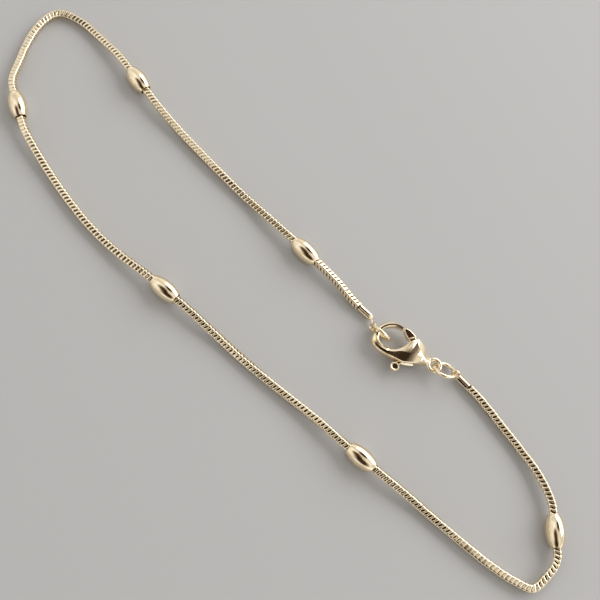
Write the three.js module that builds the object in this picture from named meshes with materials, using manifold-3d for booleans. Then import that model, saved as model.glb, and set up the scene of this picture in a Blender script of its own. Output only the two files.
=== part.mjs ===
// Bead chain bracelet: a square snake chain with six oval beads on it, closed by a lobster clasp.
// Millimetres, +Z up. It lies closed on a flat surface, its long axis along X, the surface at Z = 0.

import * as THREE from "three";
import { mergeVertices } from "three/addons/utils/BufferGeometryUtils.js";
import Module from "manifold-3d";

const wasm = await Module();
wasm.setup();

// The middle of the loop, which becomes the part's origin.
const CENTRE_X = 0.187;
const CENTRE_Y = -0.255;

// The snake chain, a chamfered square in section, thinner where the end caps grip it.
const CHAIN_FLATS = 0.92;
const CHAIN_CORNERS = 1.12;
const CHAIN_HEIGHT = 0.6;
const CHAIN_STEPS = 78;
const CHAIN_GRIP = 1.82;
const GRIP_FLATS = 0.44;
const GRIP_CORNERS = 0.475;
const GRIP_OVERLAP = 0.5;
const PLAN_STEPS = 40;

// The beads, polished ovals cut off at both ends, with a bore for the chain.
const BEAD_LENGTH = 3.55;
const BEAD_DIAMETER = 2.24;
const BEAD_END_DIAMETER = 1.42;
const BEAD_BORE = 1.28;
const BEAD_FULLNESS = 2;
const BEAD_SIDES = 16;
const BEAD_ROWS = 10;
const BEAD_RISE = 9;
const BEAD_STRAIGHT = 0.2;
const BEAD_PULL = 6;

// The end caps, folded from sheet, each with a wire loop on its front.
const CAP_LENGTH = 1.9;
const CAP_WIDTH = 0.84;
const CAP_WALL = 0.12;
const CAP_SEAM = 0.2;
const CAP_FRONT = 0.2;
const CAP_BEND = 0.14;
const FRONT_INSET = 0.04;
const FRONT_SET = 0.1;
const ROOT_SET = 0.15;
const END_SHARE = 0.008;
const LOOP_RADIUS = 0.44;
const LOOP_WIRE = 0.28;
const LOOP_REACH = 0.02;
const LOOP_TIP = 0.4;
const LOOP_TURNS = 16;
const STUB_SIDES = 8;
const TAIL_CAP = { seamRoll: -50, ringAngle: 0 };
const JAW_CAP = { seamRoll: 0, ringAngle: 210 };

// The two plain rings.
const RING_RADIUS = 1.33;
const RING_WIRE = 0.44;
const RING_TURNS = 24;
const WIRE_SIDES = 6;

// The clasp, measured along its own axis from the centre of its tail ring, the jaw towards minus.
const CLASP_X = 20.94;
const CLASP_Y = 7.83;
const CLASP_TURN = 13;
const CLASP_MID = 1.15;
const TAIL_OUTER = 0.97;
const TAIL_HOLE = 0.49;
const TAIL_THICK = 0.48;
const TAIL_ROUND = 0.12;
const CLAW_SIDES = 12;
const CLAW_FULLNESS = 0.75;
const SLOT_HEIGHT = 0.8;
const SLOT_WIDTH = 8;
const SLOT_BACK = -2.05;
const SLOT_FRONT = -4.75;

// The lever, which turns on a pin inside the clasp.
const PIVOT_ALONG = -2.9;
const PIVOT_ACROSS = 0.75;
const LEVER_THICK = 0.54;
const GATE_THICK = 0.94;
const PIN_RADIUS = 0.3;
const PIN_LENGTH = 1.5;
const PIN_GAP = 0.1;
const PIN_SIDES = 16;
const LEVER_CUT = 3;
const NUB_ALONG = -4.0;
const NUB_ACROSS = -2.84;
const NUB_RADIUS = 0.57;
const NUB_THICK = 0.9;

// Where the chain runs, from the cap at the clasp's tail round to the cap at its jaw.
const ROUTE = [
  { x: 23.87, y: 9.13 },
  { x: 27.8, y: 8.95 },
  { x: 31.4, y: 8.4 },
  { x: 35.0, y: 7.8 },
  { x: 38.2, y: 7.0 },
  { x: 41.05, y: 5.25 },
  { x: 43.35, y: 3.35, bead: "bead_1" },
  { x: 44.85, y: 1.35 },
  { x: 45.45, y: -0.85 },
  { x: 45.35, y: -3.2 },
  { x: 43.2, y: -4.1 },
  { x: 40.4, y: -4.7 },
  { x: 36.6, y: -5.12 },
  { x: 32.4, y: -5.44 },
  { x: 28.0, y: -5.8 },
  { x: 22.05, y: -6.45, bead: "bead_2" },
  { x: 14.8, y: -7.0 },
  { x: 6.1, y: -7.85 },
  { x: -1.0, y: -8.25 },
  { x: -7.55, y: -8.75, bead: "bead_3" },
  { x: -15.9, y: -9.6 },
  { x: -21.3, y: -9.5 },
  { x: -29.0, y: -8.3 },
  { x: -33.5, y: -7.1 },
  { x: -37.45, y: -5.42, bead: "bead_4" },
  { x: -40.05, y: -3.83 },
  { x: -42.5, y: -0.95 },
  { x: -44.5, y: 2.3 },
  { x: -45.45, y: 5.45 },
  { x: -45.1, y: 7.5 },
  { x: -42.6, y: 8.75 },
  { x: -38.5, y: 8.95 },
  { x: -34.6, y: 8.75 },
  { x: -30.8, y: 8.15, bead: "bead_5" },
  { x: -26.0, y: 7.45 },
  { x: -16.6, y: 6.95 },
  { x: -8.0, y: 6.95 },
  { x: 0.3, y: 7.0, bead: "bead_6" },
  { x: 5.6, y: 7.05 },
  { x: 8.5, y: 6.8 },
  { x: 11.5, y: 6.85 },
];

// The claw, from its neck round the jaw to the hook's tip: the two edges in plan and the thickness.
const CLAW = [
  { inAlong: -0.72, inAcross: 0.45, outAlong: -0.72, outAcross: -0.5, thick: 0.7 },
  { inAlong: -1.15, inAcross: 0.56, outAlong: -1.1, outAcross: -0.66, thick: 1.2 },
  { inAlong: -1.95, inAcross: 1.15, outAlong: -1.87, outAcross: -1.17, thick: 2.0 },
  { inAlong: -2.75, inAcross: 1.46, outAlong: -2.65, outAcross: -1.62, thick: 2.24 },
  { inAlong: -3.25, inAcross: 1.45, outAlong: -3.45, outAcross: -1.98, thick: 2.3 },
  { inAlong: -3.9, inAcross: 0.65, outAlong: -4.25, outAcross: -2.08, thick: 2.24 },
  { inAlong: -4.13, inAcross: 0, outAlong: -4.8, outAcross: -2.14, thick: 2.1 },
  { inAlong: -4.62, inAcross: -0.82, outAlong: -5.4, outAcross: -2.2, thick: 1.8 },
  { inAlong: -5.3, inAcross: -1.27, outAlong: -5.95, outAcross: -2.24, thick: 1.5 },
  { inAlong: -6.27, inAcross: -1.4, outAlong: -6.65, outAcross: -2.22, thick: 1.26 },
  { inAlong: -6.95, inAcross: -1.2, outAlong: -7.4, outAcross: -2.0, thick: 1.14 },
  { inAlong: -7.36, inAcross: -0.75, outAlong: -7.95, outAcross: -1.45, thick: 1.1 },
  { inAlong: -7.48, inAcross: -0.1, outAlong: -8.17, outAcross: -0.55, thick: 1.08 },
  { inAlong: -7.3, inAcross: 0.5, outAlong: -8.0, outAcross: 0.45, thick: 1.06 },
  { inAlong: -6.85, inAcross: 1.05, outAlong: -7.5, outAcross: 1.36, thick: 1.04 },
  { inAlong: -6.25, inAcross: 1.45, outAlong: -6.8, outAcross: 1.94, thick: 1.0 },
  { inAlong: -5.7, inAcross: 1.6, outAlong: -6.0, outAcross: 2.15, thick: 0.96 },
  { inAlong: -5.36, inAcross: 1.64, outAlong: -5.38, outAcross: 2.14, thick: 0.92 },
];

// The lever in plan, its thin plate from the gate's tip round by the pin to the thumb nub and back.
const LEVER = [
  { along: -5.18, across: 1.7 },
  { along: -5.03, across: 2.06 },
  { along: -4.3, across: 2.0 },
  { along: -3.4, across: 1.62 },
  { along: -2.55, across: 1.25 },
  { along: -2.3, across: 0.75 },
  { along: -2.5, across: 0.15 },
  { along: -3.1, across: -1.2 },
  { along: -3.75, across: -2.6 },
  { along: -4.25, across: -2.6 },
  { along: -3.75, across: -1.2 },
  { along: -3.5, across: 0 },
  { along: -3.75, across: 0.75 },
  { along: -4.25, across: 1.1 },
  { along: -4.7, across: 1.3 },
];

// The gate, the thicker part of the lever that stands clear of the claw.
const GATE = [
  { along: -5.2, across: 1.68 },
  { along: -5.04, across: 2.08 },
  { along: -4.35, across: 2.04 },
  { along: -3.5, across: 1.74 },
  { along: -4.2, across: 0.95 },
  { along: -4.7, across: 1.24 },
];

const GOLD = "#e6cc96";
const radians = THREE.MathUtils.degToRad;
const bracelet = new THREE.Group();
bracelet.name = "bead_chain_bracelet";
bracelet.position.set(-CENTRE_X, -CENTRE_Y, 0);

// A closed geometry as a solid for adding and cutting.
function solid(geometry) {
  const bare = geometry.clone();
  bare.deleteAttribute("normal");
  bare.deleteAttribute("uv");
  const merged = mergeVertices(bare, 1e-4);
  const mesh = new wasm.Mesh({
    numProp: 3,
    vertProperties: new Float32Array(merged.attributes.position.array),
    triVerts: new Uint32Array(merged.index.array),
  });
  return new wasm.Manifold(mesh);
}

// A solid back as a geometry.
function surface(body) {
  const mesh = body.getMesh();
  const geometry = new THREE.BufferGeometry();
  geometry.setAttribute("position", new THREE.BufferAttribute(new Float32Array(mesh.vertProperties), 3));
  geometry.setIndex(new THREE.BufferAttribute(new Uint32Array(mesh.triVerts), 1));
  geometry.computeVertexNormals();
  return geometry;
}

// One named piece of the bracelet.
function piece(name, geometry) {
  const material = new THREE.MeshStandardMaterial({ color: GOLD, metalness: 1, roughness: 0.25 });
  const mesh = new THREE.Mesh(geometry, material);
  mesh.name = name;
  bracelet.add(mesh);
  return mesh;
}

// A surface through equal rings of points, closed at both ends.
function loft(rings) {
  const count = rings[0].length;
  const points = rings.flat();
  const faces = [];
  for (let r = 0; r + 1 < rings.length; r++) {
    for (let i = 0; i < count; i++) {
      const j = (i + 1) % count;
      const a = r * count + i;
      const b = r * count + j;
      faces.push(a, b, b + count, a, b + count, a + count);
    }
  }
  const last = (rings.length - 1) * count;
  for (let i = 1; i + 1 < count; i++) {
    faces.push(0, i + 1, i);
    faces.push(last, last + i, last + i + 1);
  }
  const geometry = new THREE.BufferGeometry().setFromPoints(points);
  geometry.setIndex(faces);
  return geometry;
}

// A round wire bent to a ring, flat about the origin with its axis along Z.
function wireRing(radius, wire, turns) {
  const profile = [];
  for (let i = 0; i <= WIRE_SIDES; i++) {
    const a = (2 * Math.PI * i) / WIRE_SIDES;
    profile.push(new THREE.Vector2(radius + (wire / 2) * Math.cos(a), (wire / 2) * Math.sin(a)));
  }
  return new THREE.LatheGeometry(profile, turns).rotateX(Math.PI / 2);
}

// A frame at a point from a first axis and an axis of turning.
function frameAt(origin, ahead, axis) {
  const side = new THREE.Vector3().crossVectors(axis, ahead).normalize();
  return new THREE.Matrix4().makeBasis(ahead, side, axis).setPosition(origin);
}

// The route in plan, and how far along it each bead sits.
const plan = new THREE.CatmullRomCurve3(
  ROUTE.map((p) => new THREE.Vector3(p.x, p.y, 0)),
  false,
  "centripetal",
);
plan.arcLengthDivisions = PLAN_STEPS * (ROUTE.length - 1);
const reach = plan.getLengths();
const chainLength = reach[reach.length - 1];
const beads = ROUTE.flatMap((p, i) => (p.bead ? [{ name: p.bead, at: reach[PLAN_STEPS * i] }] : []));

beads.forEach((bead) => {
  bead.centre = plan.getPointAt(bead.at / chainLength).setZ(BEAD_DIAMETER / 2);
  bead.axis = plan.getTangentAt(bead.at / chainLength).setZ(0).normalize();
});

// The chain's own path: low between the beads, level and straight through each one.
class ChainPath extends THREE.Curve {
  constructor(from, to) {
    super();
    this.from = from;
    this.to = to;
  }
  getPoint(t) {
    const s = this.from + (this.to - this.from) * t;
    const p = plan.getPointAt(THREE.MathUtils.clamp(s / chainLength, 0, 1)).setZ(CHAIN_HEIGHT);
    for (const bead of beads) {
      const outside = Math.max(0, Math.abs(s - bead.at) - BEAD_LENGTH / 2 - BEAD_STRAIGHT);
      if (outside < BEAD_RISE) {
        const near = 0.5 + 0.5 * Math.cos((Math.PI * outside) / BEAD_RISE);
        const straight = bead.centre.clone().addScaledVector(bead.axis, s - bead.at);
        const pull = Math.pow(near, BEAD_PULL);
        p.x += (straight.x - p.x) * pull;
        p.y += (straight.y - p.y) * pull;
        p.z += (straight.z - p.z) * near;
      }
    }
    return p;
  }
}

// The chain as one plain rod: its links run on without a break.
function chamferedSquare(flats, corners) {
  const half = flats / 2;
  const cut = corners / Math.SQRT2 - half;
  const outline = [
    [half, cut],
    [cut, half],
    [-cut, half],
    [-half, cut],
    [-half, -cut],
    [-cut, -half],
    [cut, -half],
    [half, -cut],
  ];
  return new THREE.Shape(outline.map(([x, y]) => new THREE.Vector2(x, y)));
}

function rod(shape, from, to, steps) {
  const extrudePath = new ChainPath(from, to);
  return new THREE.ExtrudeGeometry(shape, { steps, extrudePath, bevelEnabled: false });
}

const section = chamferedSquare(CHAIN_FLATS, CHAIN_CORNERS);
const grip = chamferedSquare(GRIP_FLATS, GRIP_CORNERS);
const chain = solid(rod(section, CHAIN_GRIP, chainLength - CHAIN_GRIP, CHAIN_STEPS))
  .add(solid(rod(grip, 0, CHAIN_GRIP + GRIP_OVERLAP, 2)))
  .add(solid(rod(grip, chainLength - CHAIN_GRIP - GRIP_OVERLAP, chainLength, 2)));
piece("snake_chain", surface(chain));

// Each bead is turned about its own axis, with a bore right through.
function beadGeometry() {
  const half = BEAD_LENGTH / 2;
  const taper = 1 - Math.pow(BEAD_END_DIAMETER / BEAD_DIAMETER, BEAD_FULLNESS);
  const profile = [new THREE.Vector2(BEAD_BORE / 2, -half)];
  for (let i = 0; i <= BEAD_ROWS; i++) {
    const across = -Math.cos((Math.PI * i) / BEAD_ROWS);
    const share = Math.pow(1 - taper * Math.pow(Math.abs(across), BEAD_FULLNESS), 1 / BEAD_FULLNESS);
    profile.push(new THREE.Vector2((BEAD_DIAMETER / 2) * share, half * across));
  }
  profile.push(new THREE.Vector2(BEAD_BORE / 2, half));
  profile.push(profile[0].clone());
  return new THREE.LatheGeometry(profile, BEAD_SIDES);
}

const upright = new THREE.Vector3(0, 0, 1);
beads.forEach((bead) => {
  const shape = beadGeometry().rotateZ(-Math.PI / 2);
  shape.applyMatrix4(frameAt(bead.centre, bead.axis, upright));
  piece(bead.name, shape);
});

// A ring standing in the part: its centre, the way it points, and its lean from level.
function placeRing({ x, y, z, heading, lean }) {
  const ahead = new THREE.Vector3(Math.cos(radians(heading)), Math.sin(radians(heading)), 0);
  const axis = upright.clone().applyAxisAngle(ahead, radians(lean));
  return frameAt(new THREE.Vector3(x, y, z), ahead, axis);
}

// The wire of a placed ring at an angle from its heading: the point and the two directions there.
function wireAt(place, angle) {
  const ahead = new THREE.Vector3().setFromMatrixColumn(place, 0);
  const side = new THREE.Vector3().setFromMatrixColumn(place, 1);
  const centre = new THREE.Vector3().setFromMatrixPosition(place);
  const out = ahead
    .clone()
    .multiplyScalar(Math.cos(radians(angle)))
    .addScaledVector(side, Math.sin(radians(angle)));
  const axis = new THREE.Vector3().setFromMatrixColumn(place, 2);
  const run = new THREE.Vector3().crossVectors(axis, out);
  return { point: centre.addScaledVector(out, RING_RADIUS), out, run };
}

const END_RING = placeRing({ x: 13.74, y: 5.95, z: 1.53, heading: 3.5, lean: 105 });
const JUMP_RING = placeRing({ x: 22.24, y: 8.34, z: 1.18, heading: 28, lean: -40 });
piece("end_ring", wireRing(RING_RADIUS, RING_WIRE, RING_TURNS).applyMatrix4(END_RING));
piece("jump_ring", wireRing(RING_RADIUS, RING_WIRE, RING_TURNS).applyMatrix4(JUMP_RING));

// A cap folded round the chain's end: a channel with a seam, a closed front, a stub and a loop.
function endCap(tip, ahead, seamRoll, hold) {
  const half = CAP_WIDTH / 2;
  const inner = half - CAP_WALL;
  const seam = CAP_SEAM / 2;
  const flank = half - CAP_BEND;
  const rim = half - FRONT_INSET;
  const channel = new THREE.Shape();
  channel.moveTo(-seam, half);
  channel.lineTo(-flank, half);
  channel.lineTo(-half, flank);
  channel.lineTo(-half, -flank);
  channel.lineTo(-flank, -half);
  channel.lineTo(flank, -half);
  channel.lineTo(half, -flank);
  channel.lineTo(half, flank);
  channel.lineTo(flank, half);
  channel.lineTo(seam, half);
  channel.lineTo(seam, inner);
  channel.lineTo(inner, inner);
  channel.lineTo(inner, -inner);
  channel.lineTo(-inner, -inner);
  channel.lineTo(-inner, inner);
  channel.lineTo(-seam, inner);
  channel.closePath();
  const front = new THREE.Shape();
  front.moveTo(-flank, -rim);
  front.lineTo(flank, -rim);
  front.lineTo(rim, 0);
  front.lineTo(flank, rim);
  front.lineTo(-flank, rim);
  front.lineTo(-rim, 0);
  front.closePath();
  const flat = { bevelEnabled: false };
  const sheet = new THREE.ExtrudeGeometry(channel, { ...flat, depth: CAP_LENGTH });
  sheet.translate(0, 0, CAP_FRONT - CAP_LENGTH);
  const wall = new THREE.ExtrudeGeometry(front, { ...flat, depth: CAP_FRONT });
  wall.translate(0, 0, FRONT_SET);
  const up = upright.clone().applyAxisAngle(ahead, radians(seamRoll));
  const side = new THREE.Vector3().crossVectors(up, ahead);
  const place = new THREE.Matrix4().makeBasis(side, up, ahead).setPosition(tip);
  const shell = solid(sheet.applyMatrix4(place)).add(solid(wall.applyMatrix4(place)));
  const centre = hold.point.clone().addScaledVector(hold.out, LOOP_REACH);
  const axis = hold.run.clone().multiply(new THREE.Vector3(1, 1, LOOP_TIP)).normalize();
  const root = tip.clone().addScaledVector(ahead, ROOT_SET);
  const toRoot = root.clone().sub(centre);
  toRoot.addScaledVector(axis, -toRoot.dot(axis)).normalize();
  const loop = wireRing(LOOP_RADIUS, LOOP_WIRE, LOOP_TURNS).applyMatrix4(frameAt(centre, toRoot, axis));
  const join = centre.clone().addScaledVector(toRoot, LOOP_RADIUS);
  const gauge = LOOP_WIRE / 2;
  const stub = new THREE.CylinderGeometry(gauge, gauge, root.distanceTo(join), STUB_SIDES);
  const turn = new THREE.Quaternion().setFromUnitVectors(
    new THREE.Vector3(0, 1, 0),
    join.clone().sub(root).normalize(),
  );
  stub.applyQuaternion(turn).translate(...root.clone().add(join).multiplyScalar(0.5).toArray());
  return surface(shell.add(solid(loop)).add(solid(stub)));
}

const wholePath = new ChainPath(0, chainLength);
const tailTip = wholePath.getPoint(0);
const tailAhead = tailTip.clone().sub(wholePath.getPoint(END_SHARE)).setZ(0).normalize();
const jawTip = wholePath.getPoint(1);
const jawAhead = jawTip.clone().sub(wholePath.getPoint(1 - END_SHARE)).setZ(0).normalize();
const tailHold = wireAt(JUMP_RING, TAIL_CAP.ringAngle);
const jawHold = wireAt(END_RING, JAW_CAP.ringAngle);
piece("end_cap_tail", endCap(tailTip, tailAhead, TAIL_CAP.seamRoll, tailHold));
piece("end_cap_jaw", endCap(jawTip, jawAhead, JAW_CAP.seamRoll, jawHold));

// The claw and its tail ring are one casting, slotted for the lever.
const claspPlace = new THREE.Matrix4()
  .makeRotationZ(radians(CLASP_TURN))
  .setPosition(CLASP_X, CLASP_Y, CLASP_MID);

function clawGeometry() {
  const edge = (along, across) =>
    new THREE.CatmullRomCurve3(CLAW.map((r) => new THREE.Vector3(r[along], r[across], r.thick)));
  const inside = edge("inAlong", "inAcross");
  const outside = edge("outAlong", "outAcross");
  const rows = 2 * (CLAW.length - 1);
  const rings = [];
  for (let i = 0; i <= rows; i++) {
    const a = inside.getPoint(i / rows);
    const b = outside.getPoint(i / rows);
    const ring = [];
    for (let k = 0; k < CLAW_SIDES; k++) {
      const turn = (Math.PI * 2 * k) / CLAW_SIDES;
      const across = Math.sign(Math.cos(turn)) * Math.pow(Math.abs(Math.cos(turn)), CLAW_FULLNESS);
      const high = Math.sign(Math.sin(turn)) * Math.pow(Math.abs(Math.sin(turn)), CLAW_FULLNESS);
      const p = a.clone().lerp(b, 0.5 + 0.5 * across);
      p.z = (high * a.z) / 2;
      ring.push(p);
    }
    rings.push(ring);
  }
  return loft(rings);
}

function tailRing() {
  const half = TAIL_THICK / 2;
  const profile = [
    [TAIL_HOLE, TAIL_ROUND - half],
    [TAIL_HOLE + TAIL_ROUND, -half],
    [TAIL_OUTER - TAIL_ROUND, -half],
    [TAIL_OUTER, TAIL_ROUND - half],
    [TAIL_OUTER, half - TAIL_ROUND],
    [TAIL_OUTER - TAIL_ROUND, half],
    [TAIL_HOLE + TAIL_ROUND, half],
    [TAIL_HOLE, half - TAIL_ROUND],
    [TAIL_HOLE, TAIL_ROUND - half],
  ];
  const points = profile.map(([r, h]) => new THREE.Vector2(r, h));
  return new THREE.LatheGeometry(points, RING_TURNS).rotateX(Math.PI / 2);
}

// A flat plate of an outline in the clasp's plane, level about its middle.
function plate(rows, thick) {
  const shape = new THREE.Shape(rows.map((p) => new THREE.Vector2(p.along, p.across)));
  const geometry = new THREE.ExtrudeGeometry(shape, { depth: thick, bevelEnabled: false });
  return geometry.translate(0, 0, -thick / 2);
}

function upPin(radius, length, along, across) {
  return new THREE.CylinderGeometry(radius, radius, length, PIN_SIDES)
    .rotateX(Math.PI / 2)
    .translate(along, across, 0);
}

const slotLength = SLOT_BACK - SLOT_FRONT;
const slot = new THREE.BoxGeometry(slotLength, SLOT_WIDTH, SLOT_HEIGHT);
slot.translate((SLOT_BACK + SLOT_FRONT) / 2, 0, 0);
const pinHole = upPin(PIN_RADIUS + PIN_GAP, PIN_LENGTH + 2 * PIN_GAP, PIVOT_ALONG, PIVOT_ACROSS);
const claw = solid(clawGeometry())
  .add(solid(tailRing()))
  .subtract(solid(slot))
  .subtract(solid(pinHole));
piece("clasp_body", surface(claw).applyMatrix4(claspPlace));

// The lever: a thin plate on the pin, the gate across the jaw and the thumb nub behind.
const nub = upPin(NUB_RADIUS, NUB_THICK, NUB_ALONG, NUB_ACROSS);
const lever = solid(plate(LEVER, LEVER_THICK))
  .add(solid(plate(GATE, GATE_THICK)))
  .add(solid(nub))
  .subtract(solid(upPin(PIN_RADIUS + PIN_GAP, LEVER_CUT, PIVOT_ALONG, PIVOT_ACROSS)));
piece("clasp_lever", surface(lever).applyMatrix4(claspPlace));
const pin = upPin(PIN_RADIUS, PIN_LENGTH, PIVOT_ALONG, PIVOT_ACROSS);
piece("lever_pin", pin.applyMatrix4(claspPlace));

export default bracelet;
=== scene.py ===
# %% [markdown]
# # A bead chain bracelet
# The bracelet is a fine square snake chain with polished oval beads on it, closed by a lobster clasp.
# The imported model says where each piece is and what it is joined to. Its solids are plain and faceted.
# This lesson keeps their places and gives each one the links, the curves and the plated finish of a
# real one. Jewellery is thought of in millimetres and Blender works in metres, so `MM` turns one into
# the other, at the moment a mesh is made.

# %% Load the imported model
import math

import bpy
import bmesh
import numpy as np
from mathutils import Matrix, Vector


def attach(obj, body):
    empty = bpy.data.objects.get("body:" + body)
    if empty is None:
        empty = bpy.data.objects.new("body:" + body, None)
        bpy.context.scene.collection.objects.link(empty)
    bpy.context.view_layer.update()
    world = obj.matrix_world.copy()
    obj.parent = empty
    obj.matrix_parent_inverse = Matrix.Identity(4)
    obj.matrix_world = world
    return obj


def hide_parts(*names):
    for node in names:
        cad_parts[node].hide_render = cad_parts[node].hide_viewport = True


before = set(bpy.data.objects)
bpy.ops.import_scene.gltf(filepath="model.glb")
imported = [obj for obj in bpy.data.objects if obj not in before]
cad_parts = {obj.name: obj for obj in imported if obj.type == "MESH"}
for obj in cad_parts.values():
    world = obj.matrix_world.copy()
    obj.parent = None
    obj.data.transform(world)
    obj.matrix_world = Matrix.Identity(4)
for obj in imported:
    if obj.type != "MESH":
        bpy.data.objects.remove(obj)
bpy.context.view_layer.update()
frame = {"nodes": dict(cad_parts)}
MM = 0.001
print("packed nodes:", len(frame["nodes"]))

# %% [markdown]
# ## The camera
# The bracelet lies on a table and the camera looks down at it from quite near, leaning a little. Such a
# view could be found by moving the camera by hand until it fits. Here the lean, the focal length in
# pixels and the scale were measured, so the camera's three axes can be worked out and set as a matrix.

# %% Camera
PICTURE_PIXELS = 600
FOCAL_PIXELS = 800
PIXELS_PER_MM = 8.3
SENSOR_WIDTH = 36
LEAN = math.radians(21.604)
# picture angles of the direction away from the camera, and of the bracelet's long way
FAR_IN_PICTURE = math.radians(66.7206)
LOOP_IN_PICTURE = math.radians(45.5)
# place on the table that is in the middle of the picture
LOOKED_AT = Vector((3.8807, 2.6535, 0))


def level(picture_angle):
    """The level direction that shows at that angle in the picture, from its right, turning left."""
    angle = picture_angle + LOOP_IN_PICTURE
    return Vector((math.cos(angle), math.sin(angle), 0))


def camera_matrix():
    far, side, up = level(FAR_IN_PICTURE), level(FAR_IN_PICTURE + math.pi / 2), Vector((0, 0, 1))
    back = up * math.cos(LEAN) - far * math.sin(LEAN)
    rise = far * math.cos(LEAN) + up * math.sin(LEAN)
    right = rise * math.cos(FAR_IN_PICTURE) - side * math.sin(FAR_IN_PICTURE)
    top = rise * math.sin(FAR_IN_PICTURE) + side * math.cos(FAR_IN_PICTURE)
    matrix = Matrix((right, top, back)).transposed().to_4x4()
    matrix.translation = (LOOKED_AT + back * (FOCAL_PIXELS / PIXELS_PER_MM)) * MM
    return matrix


camera = bpy.data.objects.new("camera", bpy.data.cameras.new("camera"))
camera.data.sensor_width = SENSOR_WIDTH
camera.data.lens = SENSOR_WIDTH * FOCAL_PIXELS / PICTURE_PIXELS
camera.data.clip_start = MM
camera.matrix_world = camera_matrix()
bpy.context.scene.collection.objects.link(camera)
bpy.context.scene.camera = camera
print("camera is", round(camera.location.z / MM), "mm above the table")

# %% [markdown]
# ## The plated finish
# Every piece is brass with a thin pale gold plate. A single colour would look like plastic, so three
# things change over each surface: the colour drifts a little where the plate is thinner, the polish is
# uneven, and the surface isn't quite flat, which bends the reflections as on real pressed metal. One
# function makes all the finishes, and only the amounts differ from piece to piece.

# %% Gold finishes
PALE_GOLD = (0.96, 0.82, 0.58, 1)
WARM_GOLD = (0.9, 0.71, 0.44, 1)
NOISE_LOW, NOISE_MIDDLE, NOISE_HIGH = 0.3, 0.5, 0.7
THIN_PLATE = 0.3
DRIFT_PER_MM, DRIFT_DETAIL = 0.8, 3
POLISH_PER_MM, POLISH_DETAIL = 6, 4
WAVE_DETAIL = 2


def noise(tree, spot, per_mm, detail):
    made = tree.nodes.new("ShaderNodeTexNoise")
    made.inputs["Scale"].default_value = per_mm / MM
    made.inputs["Detail"].default_value = detail
    tree.links.new(spot.outputs["Object"], made.inputs["Vector"])
    return made.outputs["Fac"]


def spread(tree, value, low, high):
    """The usual range of a noise, stretched to go from low to high."""
    made = tree.nodes.new("ShaderNodeMapRange")
    made.inputs["From Min"].default_value = NOISE_LOW
    made.inputs["From Max"].default_value = NOISE_HIGH
    made.inputs["To Min"].default_value = low
    made.inputs["To Max"].default_value = high
    tree.links.new(value, made.inputs["Value"])
    return made.outputs["Result"]


def gold(name, polish, wave_per_mm, wave_height):
    """A plated finish: polish is its lowest and highest roughness, the waves bend its reflections."""
    finish = bpy.data.materials.new(name)
    finish.use_nodes = True
    tree = finish.node_tree
    shader = tree.nodes["Principled BSDF"]
    shader.inputs["Metallic"].default_value = 1
    spot = tree.nodes.new("ShaderNodeTexCoord")
    ramp = tree.nodes.new("ShaderNodeValToRGB")
    ramp.color_ramp.elements[0].color = WARM_GOLD
    ramp.color_ramp.elements[0].position = NOISE_MIDDLE - THIN_PLATE
    ramp.color_ramp.elements[1].color = PALE_GOLD
    ramp.color_ramp.elements[1].position = NOISE_MIDDLE
    tree.links.new(noise(tree, spot, DRIFT_PER_MM, DRIFT_DETAIL), ramp.inputs["Fac"])
    tree.links.new(ramp.outputs["Color"], shader.inputs["Base Color"])
    uneven = noise(tree, spot, POLISH_PER_MM, POLISH_DETAIL)
    tree.links.new(spread(tree, uneven, *polish), shader.inputs["Roughness"])
    bump = tree.nodes.new("ShaderNodeBump")
    bump.inputs["Strength"].default_value = 1
    bump.inputs["Distance"].default_value = wave_height * MM
    tree.links.new(noise(tree, spot, wave_per_mm, WAVE_DETAIL), bump.inputs["Height"])
    tree.links.new(bump.outputs["Normal"], shader.inputs["Normal"])
    return finish


# name, least and most roughness, waves in a millimetre, height of the waves
bead_gold = gold("bead_gold", (0.04, 0.1), 0.9, 0.02)
ring_gold = gold("ring_gold", (0.08, 0.16), 1.5, 0.01)
cap_gold = gold("cap_gold", (0.08, 0.18), 1.6, 0.012)
clasp_gold = gold("clasp_gold", (0.04, 0.09), 0.8, 0.015)
lever_gold = gold("lever_gold", (0.05, 0.11), 1.2, 0.01)
print("finishes:", [made.name for made in (bead_gold, ring_gold, cap_gold, clasp_gold, lever_gold)])

# %% [markdown]
# The chain needs one thing more. Light doesn't reach between its links, so shade is painted into the
# hollows:
# they are mixed towards a dark brown while the outside stays bright. So each point of the chain carries a
# number of painted shade, nought outside and one in the hollows, and the finish turns brown with it.

# %% Chain finish
# dark brown painted into the chain's hollows as shade between the links
HOLLOW_SHADE_BROWN = (0.07, 0.03, 0.012, 1)


def paint_hollow_shade(finish):
    tree = finish.node_tree
    shader = tree.nodes["Principled BSDF"]
    bright = shader.inputs["Base Color"].links[0].from_socket
    # the gold is mixed towards the painted shade brown where a point lies deep between the links
    hollow_shade = tree.nodes.new("ShaderNodeAttribute")
    hollow_shade.attribute_name = "hollow_shade"
    mix = tree.nodes.new("ShaderNodeMix")
    mix.data_type = "RGBA"
    mix.inputs["B"].default_value = HOLLOW_SHADE_BROWN
    tree.links.new(hollow_shade.outputs["Fac"], mix.inputs["Factor"])
    tree.links.new(bright, mix.inputs["A"])
    tree.links.new(mix.outputs["Result"], shader.inputs["Base Color"])
    return finish


chain_gold = paint_hollow_shade(gold("chain_gold", (0.14, 0.26), 3, 0.006))
print("chain finish has", len(chain_gold.node_tree.nodes), "nodes")

# %% [markdown]
# ## Meshes from rows of points
# Wire, beads, links and the cast claw are all the same kind of shape: a row of points, repeated while
# it moves, with faces between one row and the next. Blender's own modifiers can do this from curves,
# but rows from arrays give exact control of each edge, and hundreds of links are made in a moment.

# %% Rows to meshes
CREASE_DEG = 35


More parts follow.
